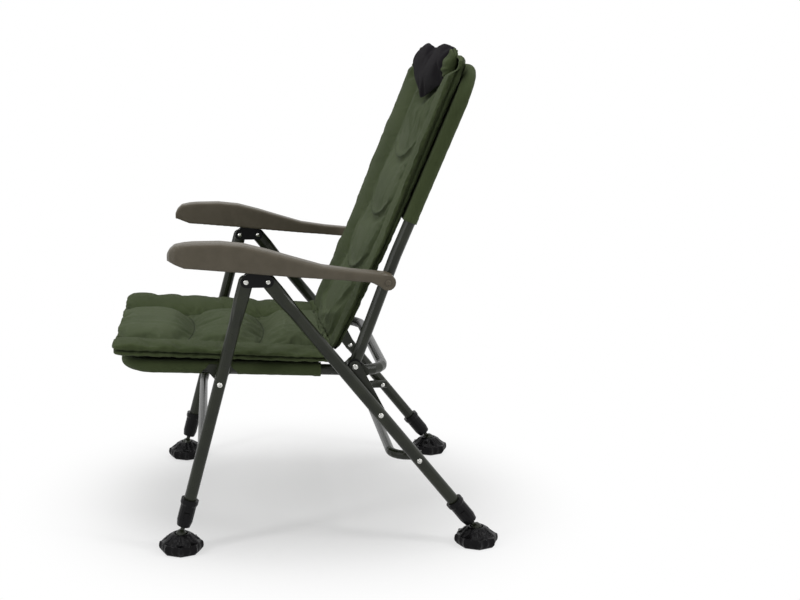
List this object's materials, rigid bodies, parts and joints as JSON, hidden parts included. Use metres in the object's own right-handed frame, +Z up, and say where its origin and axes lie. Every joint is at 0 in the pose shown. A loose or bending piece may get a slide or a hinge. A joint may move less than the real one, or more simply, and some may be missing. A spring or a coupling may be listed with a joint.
{
  "type": "folding fishing chair",
  "caption": "Folding recliner fishing chair with a padded mattress, moulded armrests, crossed tube legs that telescope, and wide swivelling mud feet.",
  "frame": {"origin": "on the ground under the middle of the open chair", "axes": "+Z up, -Y the way the sitter faces, +X the sitter's left"},
  "size_m": [0.688, 0.7738, 1.0125],
  "materials": {
    "painted_tube": "satin very dark green paint",
    "zinc_steel": "dull zinc",
    "black_plastic": "matt",
    "foot_rubber": "matt, lightly moulded",
    "armrest_plastic": "soft matt taupe brown",
    "mattress_cloth": "olive green woven polyester, quilted",
    "sling_cloth": "dark olive canvas",
    "pillow_cloth": "near black fleece"
  },
  "bodies": {
    "seat": {"seat_frame": "painted_tube", "seat_sling": "sling_cloth", "seat_cushion": "mattress_cloth", "hip_plate_left": "painted_tube", "hip_plate_right": "painted_tube", "front_lug_left": "painted_tube", "front_lug_right": "painted_tube"},
    "links": {"link_plate_left": "painted_tube", "link_plate_right": "painted_tube", "link_rivet_left": "zinc_steel", "link_rivet_right": "zinc_steel"},
    "rear_legs": {"rear_leg_left": "painted_tube", "rear_leg_right": "painted_tube", "rear_stretcher": "painted_tube", "stretcher_bolt_left": "zinc_steel", "stretcher_bolt_right": "zinc_steel", "leg_clamp_rear_left": "black_plastic", "leg_clamp_rear_right": "black_plastic"},
    "brackets": {"leg_bracket_left": "black_plastic", "leg_bracket_right": "black_plastic", "front_top_rivet_left": "zinc_steel", "front_top_rivet_right": "zinc_steel", "rear_top_rivet_left": "zinc_steel", "rear_top_rivet_right": "zinc_steel"},
    "front_legs": {"front_leg_left": "painted_tube", "front_leg_right": "painted_tube", "front_stretcher": "painted_tube", "front_hinge_rivet_left": "zinc_steel", "front_hinge_rivet_right": "zinc_steel", "leg_clamp_front_left": "black_plastic", "leg_clamp_front_right": "black_plastic"},
    "hip_bolts": {"hip_bolt_left": "zinc_steel", "hip_bolt_right": "zinc_steel", "hip_washer_left": "zinc_steel", "hip_washer_right": "zinc_steel"},
    "backrest": {"backrest_frame": "painted_tube", "back_sling": "sling_cloth", "back_cushion": "mattress_cloth", "pillow": "pillow_cloth"},
    "armrest_bolts": {"armrest_bolt_left": "zinc_steel", "armrest_bolt_right": "zinc_steel", "armrest_washer_left": "zinc_steel", "armrest_washer_right": "zinc_steel"},
    "armrests": {"armrest_left": "armrest_plastic", "armrest_right": "armrest_plastic"},
    "inner_leg_front_left": {"inner_leg_front_left": "painted_tube"},
    "mud_foot_front_left": {"mud_foot_front_left": "foot_rubber"},
    "clamp_button_front_left": {"clamp_button_front_left": "black_plastic"},
    "inner_leg_front_right": {"inner_leg_front_right": "painted_tube"},
    "mud_foot_front_right": {"mud_foot_front_right": "foot_rubber"},
    "clamp_button_front_right": {"clamp_button_front_right": "black_plastic"},
    "inner_leg_rear_left": {"inner_leg_rear_left": "painted_tube"},
    "mud_foot_rear_left": {"mud_foot_rear_left": "foot_rubber"},
    "clamp_button_rear_left": {"clamp_button_rear_left": "black_plastic"},
    "inner_leg_rear_right": {"inner_leg_rear_right": "painted_tube"},
    "mud_foot_rear_right": {"mud_foot_rear_right": "foot_rubber"},
    "clamp_button_rear_right": {"clamp_button_rear_right": "black_plastic"}
  },
  "joints": [
    {"name": "fold", "type": "hinge", "parent": "seat", "child": "links", "pos_m": [0, 0.09207, 0.373], "axis": [-1, 0, 0], "range_deg": [0, 99.84], "deforming": ["seat_cushion", "back_cushion"]},
    {"name": "rear_legs_fold", "type": "hinge", "parent": "links", "child": "rear_legs", "pos_m": [0, 0.14207, 0.279], "axis": [1, 0, 0], "range_deg": [0, 124.5]},
    {"name": "brackets_fold", "type": "hinge", "parent": "rear_legs", "child": "brackets", "pos_m": [0, -0.08093, 0.551], "axis": [1, 0, 0], "range_deg": [0, 23.89]},
    {"name": "front_legs_fold", "type": "hinge", "parent": "brackets", "child": "front_legs", "pos_m": [0, -0.12393, 0.551], "axis": [1, 0, 0], "range_deg": [0, 23.03]},
    {"name": "backrest_fold", "type": "hinge", "parent": "seat", "child": "hip_bolts", "pos_m": [0, 0.09207, 0.373], "axis": [1, 0, 0], "range_deg": [0, 92.9]},
    {"name": "recline", "type": "hinge", "parent": "hip_bolts", "child": "backrest", "pos_m": [0, 0.09207, 0.373], "axis": [1, 0, 0], "range_deg": [-25, 0]},
    {"name": "armrests_fold", "type": "hinge", "parent": "backrest", "child": "armrest_bolts", "pos_m": [0, 0.15207, 0.548], "axis": [-1, 0, 0], "range_deg": [0, 99.73]},
    {"name": "armrests_level", "type": "hinge", "parent": "armrest_bolts", "child": "armrests", "pos_m": [0, 0.15207, 0.548], "axis": [1, 0, 0], "range_deg": [0, 18.5]},
    {"name": "front_left_leg_length", "type": "slide", "parent": "front_legs", "child": "inner_leg_front_left", "axis": [0, -0.2515, -0.9679], "range_m": [0, 0.09]},
    {"name": "front_left_foot_tilt", "type": "hinge", "parent": "inner_leg_front_left", "child": "mud_foot_front_left", "pos_m": [0.3, -0.25825, 0.034], "axis": [1, 0, 0], "range_deg": [-14, 14]},
    {"name": "front_left_button", "type": "slide", "parent": "front_legs", "child": "clamp_button_front_left", "axis": [-1, 0, 0], "range_m": [0, 0.002], "stiffness_N_per_m": 400},
    {"name": "front_right_leg_length", "type": "slide", "parent": "front_legs", "child": "inner_leg_front_right", "axis": [0, -0.2515, -0.9679], "range_m": [0, 0.09]},
    {"name": "front_right_foot_tilt", "type": "hinge", "parent": "inner_leg_front_right", "child": "mud_foot_front_right", "pos_m": [-0.3, -0.25825, 0.034], "axis": [1, 0, 0], "range_deg": [-14, 14]},
    {"name": "front_right_button", "type": "slide", "parent": "front_legs", "child": "clamp_button_front_right", "axis": [1, 0, 0], "range_m": [0, 0.002], "stiffness_N_per_m": 400},
    {"name": "rear_left_leg_length", "type": "slide", "parent": "rear_legs", "child": "inner_leg_rear_left", "axis": [0, 0.634, -0.7733], "range_m": [0, 0.09]},
    {"name": "rear_left_foot_tilt", "type": "hinge", "parent": "inner_leg_rear_left", "child": "mud_foot_rear_left", "pos_m": [0.3, 0.34293, 0.034], "axis": [1, 0, 0], "range_deg": [-10, 22]},
    {"name": "rear_left_button", "type": "slide", "parent": "rear_legs", "child": "clamp_button_rear_left", "axis": [-1, 0, 0], "range_m": [0, 0.002], "stiffness_N_per_m": 400},
    {"name": "rear_right_leg_length", "type": "slide", "parent": "rear_legs", "child": "inner_leg_rear_right", "axis": [0, 0.634, -0.7733], "range_m": [0, 0.09]},
    {"name": "rear_right_foot_tilt", "type": "hinge", "parent": "inner_leg_rear_right", "child": "mud_foot_rear_right", "pos_m": [-0.3, 0.34293, 0.034], "axis": [1, 0, 0], "range_deg": [-10, 22]},
    {"name": "rear_right_button", "type": "slide", "parent": "rear_legs", "child": "clamp_button_rear_right", "axis": [1, 0, 0], "range_m": [0, 0.002], "stiffness_N_per_m": 400}
  ],
  "couplings": [
    {"joint": "rear_legs_fold", "follows": "fold", "ratio": 1.2469},
    {"joint": "brackets_fold", "follows": "fold", "ratio": 0.23928},
    {"joint": "front_legs_fold", "follows": "fold", "ratio": 0.23057},
    {"joint": "backrest_fold", "follows": "fold", "ratio": 0.93039},
    {"joint": "armrests_fold", "follows": "fold", "ratio": 0.9988},
    {"joint": "armrests_level", "follows": "recline", "ratio": -0.74}
  ]
}
